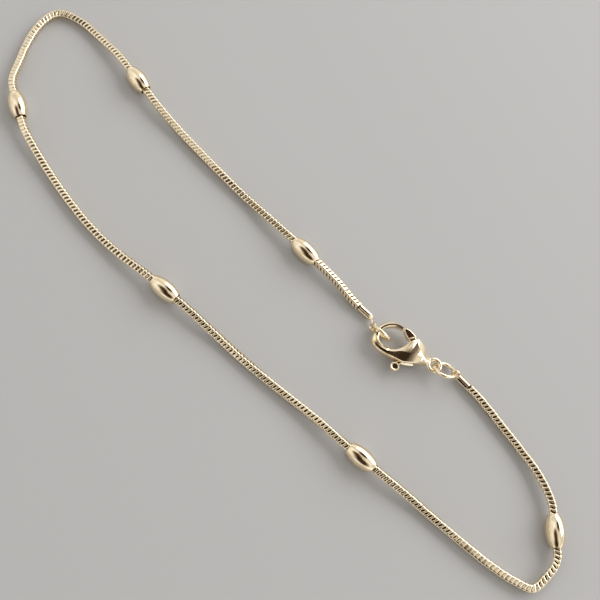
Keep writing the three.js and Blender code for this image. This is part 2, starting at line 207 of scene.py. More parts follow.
def between_rows(rows, columns, close_rows, close_columns):
    """Four-cornered faces over rows of points, which may close on themselves either way."""
    row = np.arange(rows if close_rows else rows - 1)[:, None]
    column = np.arange(columns if close_columns else columns - 1)[None, :]
    next_row, next_column = (row + 1) % rows, (column + 1) % columns
    corners = [row * columns + column, row * columns + next_column]
    corners += [next_row * columns + next_column, next_row * columns + column]
    return np.stack(np.broadcast_arrays(*corners), -1).reshape(-1, 4).tolist()


def closed_rows(rows, sides):
    """Faces round a body made of rows, with a flat face on each end."""
    last = (rows - 1) * sides
    ends = [list(range(sides)), list(range(last, last + sides))]
    return between_rows(rows, sides, False, True) + ends


def mesh_object(name, points, faces, crease_deg=CREASE_DEG):
    """An object from points in millimetres, faces turned outwards, smooth but for its creases."""
    mesh = bpy.data.meshes.new(name)
    mesh.from_pydata((np.reshape(points, (-1, 3)) * MM).tolist(), [], faces)
    shell = bmesh.new()
    shell.from_mesh(mesh)
    bmesh.ops.recalc_face_normals(shell, faces=shell.faces)
    shell.to_mesh(mesh)
    shell.free()
    mesh.shade_smooth()
    mesh.set_sharp_from_angle(angle=math.radians(crease_deg))
    made = bpy.data.objects.new(name, mesh)
    bpy.context.scene.collection.objects.link(made)
    return made


print("two rows of four points make a body of", len(closed_rows(2, 4)), "faces")

# %% [markdown]
# A new mesh is only a shape. It also needs a finish, the packed node that it stands for and the body that
# carries it when the clasp moves. These could be set piece by piece, but one helper forgets none of them.

# %% Dress a piece
def dress(piece, finish, node, body="bracelet"):
    """The piece takes its finish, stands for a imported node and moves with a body."""
    piece.data.materials.clear()
    piece.data.materials.append(finish)
    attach(piece, body)
    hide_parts(node)
    print(piece.name, "has", len(piece.data.polygons), "faces")
    return piece


print("nodes to dress:", ", ".join(frame["nodes"]))

# %% [markdown]
# ## Where the chain runs
# A chain that is laid down takes long easy bends with one or two tight ones. It could be left to fall in
# a cloth simulation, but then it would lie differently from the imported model. So the route is the same
# list of points on the table as there, with a smooth curve through them.

# %% Route of the chain
CENTRE = np.array([0.187, -0.255])
ROUTE = [
    (23.87, 9.13), (27.8, 8.95), (31.4, 8.4), (35, 7.8), (38.2, 7), (41.05, 5.25),
    (43.35, 3.35), (44.85, 1.35), (45.45, -0.85), (45.35, -3.2), (43.2, -4.1), (40.4, -4.7),
    (36.6, -5.12), (32.4, -5.44), (28, -5.8), (22.05, -6.45), (14.8, -7), (6.1, -7.85),
    (-1, -8.25), (-7.55, -8.75), (-15.9, -9.6), (-21.3, -9.5), (-29, -8.3), (-33.5, -7.1),
    (-37.45, -5.42), (-40.05, -3.83), (-42.5, -0.95), (-44.5, 2.3), (-45.45, 5.45), (-45.1, 7.5),
    (-42.6, 8.75), (-38.5, 8.95), (-34.6, 8.75), (-30.8, 8.15), (-26, 7.45), (-16.6, 6.95),
    (-8, 6.95), (0.3, 7), (5.6, 7.05), (8.5, 6.8), (11.5, 6.85),
]
ROUTE_STEPS = 40


def smooth_curve(points, steps):
    """A curve through all the points that keeps its bends even where they are unevenly spaced."""
    ends = [2 * points[0] - points[1]], [2 * points[-1] - points[-2]]
    p = np.concatenate([ends[0], points, ends[1]])
    spans = np.sqrt(np.linalg.norm(np.diff(p, axis=0), axis=1))[:, None]
    a, b, c = spans[:-2], spans[1:-1], spans[2:]
    step = np.diff(p, axis=0)
    leave = (step[:-2] / a - (p[2:-1] - p[:-3]) / (a + b) + step[1:-1] / b) * b
    arrive = (step[1:-1] / b - (p[3:] - p[1:-2]) / (b + c) + step[2:] / c) * b
    u = np.linspace(0, 1, steps, endpoint=False)[None, :, None]
    start, move = p[1:-2, None], step[1:-1, None]
    leave, arrive = leave[:, None], arrive[:, None]
    bend = (3 * move - 2 * leave - arrive) * u**2 + (leave + arrive - 2 * move) * u**3
    curve = start + leave * u + bend
    return np.concatenate([curve.reshape(-1, points.shape[1]), points[-1:]])


plan = smooth_curve(np.array(ROUTE) - CENTRE, ROUTE_STEPS)
reach = np.concatenate([[0], np.cumsum(np.linalg.norm(np.diff(plan, axis=0), axis=1))])
chain_length = reach[-1]
print("chain length", round(chain_length, 1), "mm")

# %% [markdown]
# Between the beads the chain lies on the table. Each bead lifts it to its own middle, and there the chain
# runs straight. Every piece of the chain is placed by how far along it lies, so helpers turn that distance
# into a place, a direction and a left and an upper side.

# %% Points along the chain
CHAIN_HEIGHT = 0.6
BEAD_LENGTH, BEAD_DIAMETER = 3.55, 2.24
BEAD_STOPS = {"bead_1": 6, "bead_2": 15, "bead_3": 19, "bead_4": 24, "bead_5": 33, "bead_6": 37}
# beyond a bead's end: still level, then the length of the slope, and how late on it the chain straightens
BEAD_MARGIN, BEAD_RISE, BEAD_STRAIGHT = 0.2, 9, 6
# how far on and back a direction is measured
AHEAD_ON_PLAN, AHEAD_ON_CHAIN = 0.02, 0.05
bead_at = {bead: reach[ROUTE_STEPS * stop] for bead, stop in BEAD_STOPS.items()}


def unit(vector):
    return vector / np.linalg.norm(vector, axis=-1, keepdims=True)


def on_plan(along):
    return np.stack([np.interp(along, reach, plan[:, 0]), np.interp(along, reach, plan[:, 1])], -1)


def bead_axis(bead):
    return unit(on_plan(bead_at[bead] + AHEAD_ON_PLAN) - on_plan(bead_at[bead] - AHEAD_ON_PLAN))


def bead_centre(bead):
    return np.append(on_plan(bead_at[bead]), BEAD_DIAMETER / 2)


def on_chain(along):
    """The middle of the chain at those distances from its end: low between beads, level in each."""
    along = np.asarray(along, float)
    place = np.concatenate([on_plan(along), np.full(along.shape + (1,), CHAIN_HEIGHT)], -1)
    for bead, at in bead_at.items():
        outside = np.clip(np.abs(along - at) - BEAD_LENGTH / 2 - BEAD_MARGIN, 0, BEAD_RISE)
        near = (0.5 + 0.5 * np.cos(np.pi * outside / BEAD_RISE))[..., None]
        straight = bead_centre(bead)[:2] + (along - at)[..., None] * bead_axis(bead)
        place[..., :2] += (straight - place[..., :2]) * near**BEAD_STRAIGHT
        place[..., 2:] += (BEAD_DIAMETER / 2 - place[..., 2:]) * near
    return place


def chain_frame(along):
    """Place, direction, left side and upper side of the chain at those distances."""
    ahead = unit(on_chain(along + AHEAD_ON_CHAIN) - on_chain(along - AHEAD_ON_CHAIN))
    left = unit(np.cross([0, 0, 1], ahead))
    return on_chain(along), ahead, left, np.cross(ahead, left)


print("beads at", [round(at, 1) for at in bead_at.values()], "mm along the chain")

# %% [markdown]
# ## The links of the chain
# A snake chain is a row of small bent plates, each a ring of sheet waved like a saddle, that sit in one
# another. The chain is square, and it turns slowly about itself as it lies, so here it shows a side and
# there a corner. A twisted curve could do that too. Here `ROLL` says how far it has turned at each place,
# and all that is built round the chain is turned by it.

# %% How the chain turns
ROLL = [
    # millimetres along the chain, then degrees turned to the left
    (0, -18), (24, -22), (30, 7), (38, 17), (42, 27), (54, 30), (58, 8), (62, 8), (70, 39), (76, 29),
    (85, 32), (96, 15), (102, 13), (110, 30), (115, 24), (121, -2), (126, -14), (131, -24), (136, -25),
    (147, -9), (157, -6), (163, -32), (171, -23), (177, 22), (185, 22),
]


def along_table(table, along):
    """The value that a table gives at those distances along the chain."""
    at, value = np.array(table).T
    return np.interp(along, at, value)


def round_chain(along, angle, out):
    """Points at an angle round the chain and a distance out from its middle."""
    place, _, left, up = chain_frame(along)
    turn = (angle + np.radians(along_table(ROLL, along)))[..., None]
    return place + out[..., None] * (left * np.sin(turn) + up * np.cos(turn))


print("halfway the chain is turned by", round(along_table(ROLL, chain_length / 2)), "degrees")

# %% [markdown]
# From outside, each of the four sides shows a row of slots between the links, and the corners are smooth
# and nearly closed. A bump map would look flat from the side, so every link is real mesh: a waved band
# that is narrow in the middle of its sides and broad at its four corners. Its outside is rounded, less so
# at the corners and where the links sit close.

# %% Shape of a link
LINK_PITCH, LINK_WAVE, LINK_SIDES = 0.5, 0.09, 32
LINK_FLATS, LINK_CORNERS = 0.92, 1.12
# where a side begins to turn into a corner, and where it wholly is one
CORNER_FROM, CORNER_FULL = 0.7, 0.95
# slot at a corner, how flat the link is there, and the slot below which its sides flatten too
CORNER_SLOT, CORNER_FLAT, OPEN_SLOT = 0.025, 0.8, 0.14
GROOVE = 0.17
BAND_ROUND = [
    # share of half the band's width, then how far below its outside
    (1, GROOVE), (1, 0.1), (0.6, 0.025), (0, 0), (-0.6, 0.025), (-1, 0.1), (-1, GROOVE),
]


def square_radius(angle, flats, corners):
    """How far a square with rounded corners reaches at an angle from the middle of a side."""
    power = 1 / (0.5 - np.log2(corners / flats))
    return flats / 2 / (np.abs(np.cos(angle)) ** power + np.abs(np.sin(angle)) ** power) ** (1 / power)


def link_bands(slot):
    """Links as rows, one for each width of slot: how far along, how far out, and how much painted shade
    each point takes.
    """
    angle = np.linspace(0, 2 * np.pi, LINK_SIDES, endpoint=False)
    corner = np.clip((np.abs(np.sin(2 * angle)) - CORNER_FROM) / (CORNER_FULL - CORNER_FROM), 0, 1)
    slot = slot[:, None]
    half = (LINK_PITCH - slot * (1 - corner) - CORNER_SLOT * corner) / 2
    flat = CORNER_FLAT * corner + np.clip(1 - slot / OPEN_SLOT, 0, 1) * (1 - corner)
    share, drop = np.array(BAND_ROUND).T[..., None]
    along = LINK_WAVE * np.sin(2 * angle) + share * half[:, None]
    drop = drop * (1 - flat[:, None] * (drop < GROOVE))
    # the last value is painted shade, growing with how deep a point lies in the slot
    return angle, along, square_radius(angle, LINK_FLATS, LINK_CORNERS) - drop, (drop / GROOVE) ** 2


print("a link is", LINK_FLATS, "mm over its sides and", LINK_CORNERS, "mm over its corners")

# %% [markdown]
# The links sit closer in some places than in others, and `SLOTS` says how wide the slots are. The links
# could be copies of one object on a curve. As one mesh they can each have their own slot, and each is
# turned a little from its neighbours, as loose links are.

# %% Links along the chain
SLOTS = [
    # millimetres along the chain, then the width of the slots
    (0, 0.21), (14, 0.2), (20, 0.16), (26, 0.16), (29, 0.06), (37, 0.06), (40, 0.2), (44, 0.18),
    (47, 0.1), (54, 0.16), (62, 0.17), (70, 0.13), (78, 0.18), (86, 0.08), (93, 0.05), (112, 0.05),
    (128, 0.07), (134, 0.05), (158, 0.05), (164, 0.12), (172, 0.12), (177, 0.12), (185, 0.12),
]
# length of chain inside a cap
CHAIN_GRIP = 1.82
# how far a link may be turned, and a number that scatters the turns
LOOSENESS, SCATTER = math.radians(3), 1.7


def chain_links():
    first, last = CHAIN_GRIP + LINK_PITCH / 2, chain_length - CHAIN_GRIP - LINK_PITCH / 2
    count = int((last - first) / LINK_PITCH) + 1
    middles = np.linspace(first, last, count)
    angle, along, out, hollow_shade = link_bands(along_table(SLOTS, middles))
    loose = LOOSENESS * np.sin(np.arange(count) ** 2 * SCATTER)
    points = round_chain(middles[:, None, None] + along, angle + loose[:, None, None], out)
    band = np.array(between_rows(len(BAND_ROUND), LINK_SIDES, True, True))
    faces = band + np.arange(count)[:, None, None] * (len(BAND_ROUND) * LINK_SIDES)
    return points.reshape(-1, 3), faces.reshape(-1, 4).tolist(), hollow_shade.ravel()


links, link_faces, link_hollow_shade = chain_links()
print("links:", len(links) // (len(BAND_ROUND) * LINK_SIDES))

# %% [markdown]
# Inside a real chain the links' inner folds block the view. They could be modelled, but nobody sees them.
# Here one plain rod does that: it runs through all the links, and its thin ends go into the end caps,
# as the chain's own ends do. The rod is painted wholly dark brown, as painted shade for those inner folds.

# %% Core of the chain
CORE_ROWS, CORE_SIDES = 400, 8
CORE_FLATS, GRIP_FLATS = 0.6, 0.44
# length of the step from the thin end to the rod, and where the rod's even rows start
CORE_SHOULDER, CORE_START = 0.02, 0.1
LINK_CREASE_DEG = 50


def chain_core():
    ends = [0, CHAIN_GRIP, CHAIN_GRIP + CORE_SHOULDER]
    start = CHAIN_GRIP + CORE_START
    body = np.linspace(start, chain_length - start, CORE_ROWS)
    along = np.concatenate([ends, body, chain_length - np.array(ends[::-1])])
    from_end = np.minimum(along, chain_length - along)
    half = np.where(from_end > CHAIN_GRIP + CORE_SHOULDER / 2, CORE_FLATS, GRIP_FLATS) / 2
    angle = np.linspace(0, 2 * np.pi, CORE_SIDES, endpoint=False)
    along = np.repeat(along[:, None], CORE_SIDES, 1)
    return round_chain(along, angle, np.repeat(half[:, None], CORE_SIDES, 1))


core = chain_core()
core_faces = [[corner + len(links) for corner in face] for face in closed_rows(len(core), CORE_SIDES)]
core = core.reshape(-1, 3)
chain_points = np.concatenate([links, core])
chain = mesh_object("linked_chain", chain_points, link_faces + core_faces, LINK_CREASE_DEG)
# the rod takes the full painted shade, as the links' inner folds lie in shade
hollow_shade = np.concatenate([link_hollow_shade, np.ones(len(core))]).astype(np.float32)
chain.data.attributes.new("hollow_shade", "FLOAT", "POINT").data.foreach_set("value", hollow_shade)
dress(chain, chain_gold, "snake_chain")

# %% [markdown]
# ## The beads
# The beads are ovals, polished like mirrors and cut off flat at both ends, with a hole for the chain. A
# stretched sphere would close to a point at each end. So the outline is drawn, the middle of an ellipse
# with a small rim at each mouth, and turned about its axis, as on a lathe. Each bead is then laid along
# the chain where the chain runs through it.

# %% Beads
# across the flat end, through the hole, and the width of the rim
BEAD_END, BEAD_BORE, BEAD_RIM = 1.42, 1.28, 0.025
BEAD_ROWS, LATHE_SIDES = 36, 64


def bead_outline():
    across = -np.cos(np.pi * np.arange(BEAD_ROWS + 1) / BEAD_ROWS)
    share = np.sqrt(1 - (1 - (BEAD_END / BEAD_DIAMETER) ** 2) * across**2)
    oval = np.stack([BEAD_DIAMETER / 2 * share, BEAD_LENGTH / 2 * across], -1)
    mouth = np.array([(BEAD_BORE / 2 + BEAD_RIM, 0), (BEAD_BORE / 2, BEAD_RIM)]) - [0, BEAD_LENGTH / 2]
    return np.concatenate([mouth[::-1], oval, mouth * [1, -1]])


def turned(outline, sides):
    """Rows of points of an outline of radius and height, turned about an upright axis."""
    turn = np.linspace(0, 2 * np.pi, sides, endpoint=False)
    radius, height = np.asarray(outline).T
    rows = [np.outer(radius, np.cos(turn)), np.outer(radius, np.sin(turn))]
    return np.stack(rows + [np.outer(height, np.ones(sides))], -1)


def laid(rows, centre, across, beside, axis):
    """Moves rows of points so that their own three axes become the given ones."""
    return np.asarray(centre) + rows @ np.array([across, beside, axis])


def bead(name):
    axis = np.append(bead_axis(name), 0)
    beside = np.cross([0, 0, 1], axis)
    rows = laid(turned(bead_outline(), LATHE_SIDES), bead_centre(name), beside, [0, 0, 1], axis)
    made = mesh_object("polished_" + name, rows, between_rows(len(rows), LATHE_SIDES, True, True))
    return dress(made, bead_gold, name)


for name in BEAD_STOPS:
    bead(name)

# %% [markdown]
# ## The two rings
# Each ring is a short length of round wire, bent until its cut ends meet. The torus that Blender offers
# has no joint, so the wire is swept round instead and stops just short of a full turn, which leaves the
# fine line of the joint. `ring_place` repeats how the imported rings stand: where, which way, how far over.

# %% Rings
RING_RADIUS, RING_WIRE = 1.33, 0.44
RING_ROWS, WIRE_SIDES = 72, 20
JOINT_TURN = math.radians(1)


def swept(name, rows, crease_deg=CREASE_DEG):
    """A closed body from rows of points round it."""
    return mesh_object(name, rows, closed_rows(len(rows), len(rows[0])), crease_deg)


def ring_place(x, y, z, heading, lean):
    """The middle of a ring and its own three axes."""
    heading, lean = math.radians(heading), math.radians(lean)
    ahead = np.array([math.cos(heading), math.sin(heading), 0])
    axis = np.array(Matrix.Rotation(lean, 3, Vector(ahead)) @ Vector((0, 0, 1)))
    return np.array([x - CENTRE[0], y - CENTRE[1], z]), ahead, np.cross(axis, ahead), axis


def wire_ring(name, place, radius, wire, joint_at):
    """A ring of round wire at its place, with the joint at an angle round it."""
    start = math.radians(joint_at) + JOINT_TURN / 2
    turn = np.linspace(start, start + 2 * np.pi - JOINT_TURN, RING_ROWS)
    side = np.linspace(0, 2 * np.pi, WIRE_SIDES, endpoint=False)
    out = radius + wire / 2 * np.cos(side)
    high = np.broadcast_to(wire / 2 * np.sin(side), (RING_ROWS, WIRE_SIDES))
    rows = np.stack([np.outer(np.cos(turn), out), np.outer(np.sin(turn), out), high], -1)
    return swept(name, laid(rows, *place))


END_RING = ring_place(13.74, 5.95, 1.53, heading=3.5, lean=105)
JUMP_RING = ring_place(22.24, 8.34, 1.18, heading=28, lean=-40)
for name, place, joint_at in (("end_ring", END_RING, 150), ("jump_ring", JUMP_RING, 300)):
    ring = wire_ring("wire_" + name, place, RING_RADIUS, RING_WIRE, joint_at)
    dress(ring, ring_gold, name)

# %% [markdown]
# ## The end caps
# A cap is a strip of thin sheet, folded round the end of the chain until its two edges nearly meet in a
# seam, with a nose that closes the front. A cube with a bevel would have no seam and no thickness, so the
# folded sheet is drawn as a section, outside and inside, and swept along the chain.

# %% Sheet and nose of a cap
CAP_WIDTH, CAP_ROUND, CAP_WALL, CAP_SEAM = 0.84, 1.1, 0.12, 0.2
SHEET_POINTS = 40
# places along the cap from the chain's tip, and how wide it is there
SHEET_STATIONS = [(-1.7, 1.03), (-1.6, 1), (-0.35, 1), (-0.1, 0.96), (0.08, 0.86), (0.2, 0.7)]
NOSE_STATIONS = [(-0.2, 0.6), (0, 0.66), (0.12, 0.72), (0.22, 0.62), (0.3, 0.42)]


def cap_outside(angle, scale):
    """Directions from the cap's middle, and the points of its outside in those directions."""
    direction = np.stack([np.sin(angle), np.cos(angle)], -1)
    return direction, direction * square_radius(angle, CAP_WIDTH, CAP_WIDTH * CAP_ROUND)[:, None] * scale


def folded_section(scale):
    """The bent sheet seen from its end: round the outside from seam to seam, then back inside."""
    open_turn = math.asin(CAP_SEAM / CAP_WIDTH)
    angle = np.linspace(open_turn, 2 * np.pi - open_turn, SHEET_POINTS)
    direction, outside = cap_outside(angle, scale)
    inside = outside - direction * CAP_WALL
    return np.concatenate([outside, inside[::-1]])


def nose_section(scale):
    angle = np.linspace(0, 2 * np.pi, SHEET_POINTS, endpoint=False)
    return cap_outside(angle, scale)[1]


def along_axis(section, stations):
    """Rows of a section that is repeated at each station, at the station's width."""
    drawn = [(section(scale), at) for at, scale in stations]
    return np.array([np.column_stack([points, np.full(len(points), at)]) for points, at in drawn])


sheet = along_axis(folded_section, SHEET_STATIONS)
nose = along_axis(nose_section, NOSE_STATIONS)
print("sheet has", len(sheet), "sections, nose has", len(nose))

# %% [markdown]
# Sheet, nose and the small wire loop that holds the ring are soldered together on a real cap. They could
# just stand in one another, but then the mesh would have faces inside. Blender's Boolean modifier makes
# them one skin, applied at once so that plain mesh is left. The loop stands square to its ring's wire.

# %% End caps
# the last two: how far the loop's middle lies outside the ring's wire, and how much of its lean it keeps
LOOP_RADIUS, LOOP_WIRE, LOOP_REACH, LOOP_TIP = 0.44, 0.28, 0.02, 0.4
# where the loop's stub starts in the nose
NOSE_ROOT = 0.15
# share of the chain that gives a cap its direction
CAP_SHARE = 0.008
# a direction in which no wire runs
UNLIKE_WIRES = (0.3, 0.2, 1)


def combine(base, tool, operation):
    """Adds the tool to the base or cuts it away, and leaves plain mesh."""
    change = base.modifiers.new("change", "BOOLEAN")
    change.operation = operation
    change.solver = "EXACT"
    change.object = tool
    shaped = base.evaluated_get(bpy.context.evaluated_depsgraph_get())
    base.data = bpy.data.meshes.new_from_object(shaped)
    base.modifiers.clear()
    bpy.data.objects.remove(tool)
    return base


def wire_between(name, start, end, wire):
    """A straight round wire from one point to another."""
    axis = unit(end - start)
    beside = unit(np.cross(axis, UNLIKE_WIRES))
    outline = [(wire / 2, 0), (wire / 2, np.linalg.norm(end - start))]
    return swept(name, laid(turned(outline, WIRE_SIDES), start, beside, np.cross(axis, beside), axis))


def end_cap(name, tip, ahead, seam_roll, ring, ring_angle):
    """A cap at the chain's tip with its seam rolled from the top, its loop on a ring at an angle."""
    up = np.array(Matrix.Rotation(math.radians(seam_roll), 3, Vector(ahead)) @ Vector((0, 0, 1)))
    place = tip, np.cross(up, ahead), up, ahead
    cap = swept(name, laid(sheet, *place))
    combine(cap, swept("nose", laid(nose, *place)), "UNION")
    centre, ring_ahead, ring_side, ring_axis = ring
    turn = math.radians(ring_angle)
    out = ring_ahead * math.cos(turn) + ring_side * math.sin(turn)
    loop_axis = unit(np.cross(ring_axis, out) * [1, 1, LOOP_TIP])
    loop_centre = centre + out * (RING_RADIUS + LOOP_REACH)
    root = tip + ahead * NOSE_ROOT
    to_root = root - loop_centre
    to_root = unit(to_root - loop_axis * to_root.dot(loop_axis))
    loop_place = loop_centre, to_root, np.cross(loop_axis, to_root), loop_axis
    loop = wire_ring("loop", loop_place, LOOP_RADIUS, LOOP_WIRE, 0)
    stub = wire_between("stub", root, loop_centre + to_root * LOOP_RADIUS, LOOP_WIRE)
    combine(cap, loop, "UNION")
    combine(cap, stub, "UNION")
    return cap


tail_tip, jaw_tip = on_chain(0.0), on_chain(chain_length)
tail_ahead = unit((tail_tip - on_chain(CAP_SHARE * chain_length)) * [1, 1, 0])
jaw_ahead = unit((jaw_tip - on_chain((1 - CAP_SHARE) * chain_length)) * [1, 1, 0])
tail_cap = end_cap("folded_cap_tail", tail_tip, tail_ahead, -50, JUMP_RING, ring_angle=0)
jaw_cap = end_cap("folded_cap_jaw", jaw_tip, jaw_ahead, 0, END_RING, ring_angle=210)
dress(tail_cap, cap_gold, "end_cap_tail")
dress(jaw_cap, cap_gold, "end_cap_jaw")

# %% [markdown]
# ## The clasp's claw
# The claw is a casting: a flat ring at its tail, a broad body and a hook that comes round to close the
# jaw. It isn't round in section. Two facets meet in a ridge on top. The one on the jaw's side is nearly
# level, the one on the back falls away, and near the tail a third folds down to the jaw. A narrow bevel
# along both edges catches the light. It could be sculpted, but facets come out crisp from a table: it
# gives the two edges in plan, the thickness, and where fold and ridge lie, and one section fits them all.

# %% Table of the claw
CLAW = [
    # inner edge along and across, outer edge along and across, thickness, then from the inner edge to the
    # outer the places of the fold and of the ridge, and how far the two facets fall away at the edges
    (-0.72, 0.45, -0.72, -0.5, 0.7, 0.5, 0.6, 0.1, 0.03),
    (-1.15, 0.56, -1.1, -0.66, 1.2, 0.6, 0.72, 0.22, 0.05),
    (-1.95, 1.15, -1.87, -1.17, 2, 0.5, 0.62, 0.4, 0.12),
    (-2.75, 1.46, -2.65, -1.62, 2.26, 0.28, 0.63, 0.24, 0.42),
    (-3.25, 1.45, -3.45, -1.98, 2.3, 0.12, 0.64, 0.06, 0.6),
    (-3.9, 0.65, -4.25, -2.08, 2.24, 0.1, 0.6, 0.02, 0.6),
    (-4.13, 0, -4.8, -2.14, 2.1, 0.12, 0.56, 0.02, 0.5),
    (-4.62, -0.82, -5.4, -2.2, 1.8, 0.16, 0.54, 0.02, 0.34),
    (-5.3, -1.27, -5.95, -2.24, 1.5, 0.2, 0.52, 0.02, 0.2),
    (-6.27, -1.4, -6.65, -2.22, 1.26, 0.22, 0.5, 0.02, 0.14),
    (-6.95, -1.2, -7.4, -2, 1.14, 0.22, 0.5, 0.02, 0.12),
    (-7.36, -0.75, -7.95, -1.45, 1.1, 0.22, 0.5, 0.02, 0.12),
    (-7.48, -0.1, -8.17, -0.55, 1.08, 0.22, 0.5, 0.02, 0.12),
    (-7.3, 0.5, -8, 0.45, 1.06, 0.22, 0.5, 0.02, 0.12),
    (-6.85, 1.05, -7.5, 1.36, 1.04, 0.24, 0.5, 0.02, 0.12),
    (-6.25, 1.45, -6.8, 1.94, 1, 0.26, 0.5, 0.02, 0.12),
    (-5.7, 1.6, -6, 2.15, 0.96, 0.28, 0.5, 0.02, 0.12),
    (-5.36, 1.64, -5.38, 2.14, 0.92, 0.3, 0.5, 0.02, 0.12),
]
CLAW_STEPS = 8
claw_rows = smooth_curve(np.array(CLAW), CLAW_STEPS)
print("the table's", len(CLAW), "rows become", len(claw_rows))

# %% [markdown]
# Each row of the table becomes a section, the same below as above. The clasp was drawn lying along its own
# axis, so `on_clasp` turns it and moves it to its place in the bracelet. Two smaller sections round off
# the hook's tip.

# %% Claw
CLASP_PLACE = np.array([20.94, 7.83, 1.15])
CLASP_TURN = math.radians(13)
CLASP_CREASE_DEG = 12
JAW_FACET = math.tan(math.radians(4.5))
# points across from the edge, and their height above the facet's edge
INNER_RIM = [(0, -0.16), (0.03, -0.08), (0.18, 0)]
OUTER_RIM = [(-0.16, 0), (-0.09, -0.08), (0, -0.24)]
# size of each rounding section, and how far it stands before the tip
TIP_ROUND = [(0.8, 0.08), (0.45, 0.12)]


def claw_section(row):
    """The section at one place: from the inner edge over the ridge to the outer edge, and back below."""
    inner, outer, (thick, fold, ridge, fall, back_fall) = row[:2], row[2:4], row[4:]
    width = np.linalg.norm(outer - inner)
    at_fold, at_ridge, top = fold * width, ridge * width, thick / 2
    fold_top = top - JAW_FACET * (at_ridge - at_fold)
    over = [(0, 0)] + [(across, fold_top - fall + high) for across, high in INNER_RIM]
    over += [(at_fold, fold_top), (at_ridge, top)]
    over += [(width + across, top - back_fall + high) for across, high in OUTER_RIM] + [(width, 0)]
    over = np.array(over)
    across, high = np.concatenate([over, over[-2:0:-1] * [1, -1]]).T
    return np.column_stack([inner + np.outer(across / width, outer - inner), high])


def on_clasp(points):
    c, s = math.cos(CLASP_TURN), math.sin(CLASP_TURN)
    middle = CLASP_PLACE - np.append(CENTRE, 0)
    return laid(np.asarray(points, float), middle, [c, s, 0], [-s, c, 0], [0, 0, 1])


def claw_body():
    rows = [claw_section(row) for row in claw_rows]
    tip = rows[-1]
    ahead = unit((tip - rows[-2]).mean(0))
    for share, reach_on in TIP_ROUND:
        rows.append(tip.mean(0) + (tip - tip.mean(0)) * share + ahead * reach_on)
    return swept("cast_claw", on_clasp(rows), CLASP_CREASE_DEG)


claw = claw_body()
print("claw has", len(claw.data.vertices), "points")

# %% [markdown]
# The ring at the tail is cast on, so it becomes one mesh with the claw, and a slot is sawn through the
# middle of the body for the lever. Both could be drawn into the table, but a Boolean leaves cleaner edges
# where a round ring and a straight saw cut meet the facets.

# %% Tail ring and slot
TAIL_OUTER, TAIL_HOLE, TAIL_THICK, TAIL_ROUND = 0.97, 0.49, 0.48, 0.22
# the saw cut from its back end to its front end, its height, and wide enough to go right through
SLOT_BACK, SLOT_FRONT, SLOT_HEIGHT, SLOT_WIDTH = -2.05, -4.75, 0.8, 8


def tail_ring():
    half = TAIL_THICK / 2
    bend = np.radians(np.arange(0, 91, 15))
    quarter = np.stack([np.sin(bend), -np.cos(bend)], -1) * TAIL_ROUND
    outside = np.array([TAIL_OUTER - TAIL_ROUND, TAIL_ROUND - half]) + quarter
    inside = np.array([TAIL_HOLE + TAIL_ROUND, TAIL_ROUND - half]) + quarter[::-1] * [-1, 1]
    lower = np.concatenate([inside, outside])
    outline = np.concatenate([lower, lower[::-1] * [1, -1]])
    rows = on_clasp(turned(outline, LATHE_SIDES))
    return mesh_object("tail_ring", rows, between_rows(len(rows), LATHE_SIDES, True, True))


def block(name, low, high):
    """A box in the clasp's own axes, from one corner to the opposite one."""
    corners = [[(low, high)[(i >> axis) & 1][axis] for axis in range(3)] for i in range(8)]
    order = [0, 1, 3, 2, 4, 5, 7, 6]
    return swept(name, on_clasp(np.array(corners)[order].reshape(2, 4, 3)))


slot_low = SLOT_FRONT, -SLOT_WIDTH / 2, -SLOT_HEIGHT / 2
slot_high = SLOT_BACK, SLOT_WIDTH / 2, SLOT_HEIGHT / 2
combine(claw, tail_ring(), "UNION")
combine(claw, block("slot", slot_low, slot_high), "DIFFERENCE")
dress(claw, clasp_gold, "clasp_body")

# %% [markdown]
# ## The lever
# The lever is pressed from sheet: a thin plate that turns on a pin inside the claw, a thicker gate across
# the mouth of the jaw and a round nub for the thumb. The plates are flat outlines with some height, and a
# Bevel modifier rounds their edges, which is what makes a flat piece of metal look like metal. The nub is
# dished, so it is turned like the beads.

# %% Lever
LEVER = [
    (-5.18, 1.7), (-5.03, 2.06), (-4.3, 2), (-3.4, 1.62), (-2.55, 1.25), (-2.3, 0.75), (-2.5, 0.15),
    (-3.1, -1.2), (-3.75, -2.6), (-4.25, -2.6), (-3.75, -1.2), (-3.5, 0), (-3.75, 0.75), (-4.25, 1.1),
    (-4.7, 1.3),
]
GATE = [(-5.2, 1.68), (-5.04, 2.08), (-4.35, 2.04), (-3.5, 1.74), (-4.2, 0.95), (-4.7, 1.24)]
LEVER_THICK, GATE_THICK = 0.54, 0.94
EDGE_BEVEL, EDGE_STEPS = 0.1, 3
NUB, NUB_RADIUS, NUB_THICK, NUB_SIDES = np.array([-4, -2.84, 0]), 0.57, 0.9, 40
# share of the nub's radius, then how far below its highest place
NUB_RIM = [(0.04, 0.07), (0.62, 0.07), (0.72, 0.01), (0.8, 0), (0.92, 0.05), (1, 0.18)]
PIVOT = np.array([-2.9, 0.75, 0])
PIN_HOLE, HOLE_REACH = 0.4, 1


def pressed(name, outline, thick):
    """A flat outline in the clasp's plane with rounded edges."""
    flat = np.column_stack([outline, np.zeros(len(outline))])
    plate = swept(name, on_clasp([flat - [0, 0, thick / 2], flat + [0, 0, thick / 2]]))
    bevel = plate.modifiers.new("edges", "BEVEL")
    bevel.width = EDGE_BEVEL * MM
    bevel.segments = EDGE_STEPS
    shaped = plate.evaluated_get(bpy.context.evaluated_depsgraph_get())
    plate.data = bpy.data.meshes.new_from_object(shaped)
    plate.modifiers.clear()
    return plate


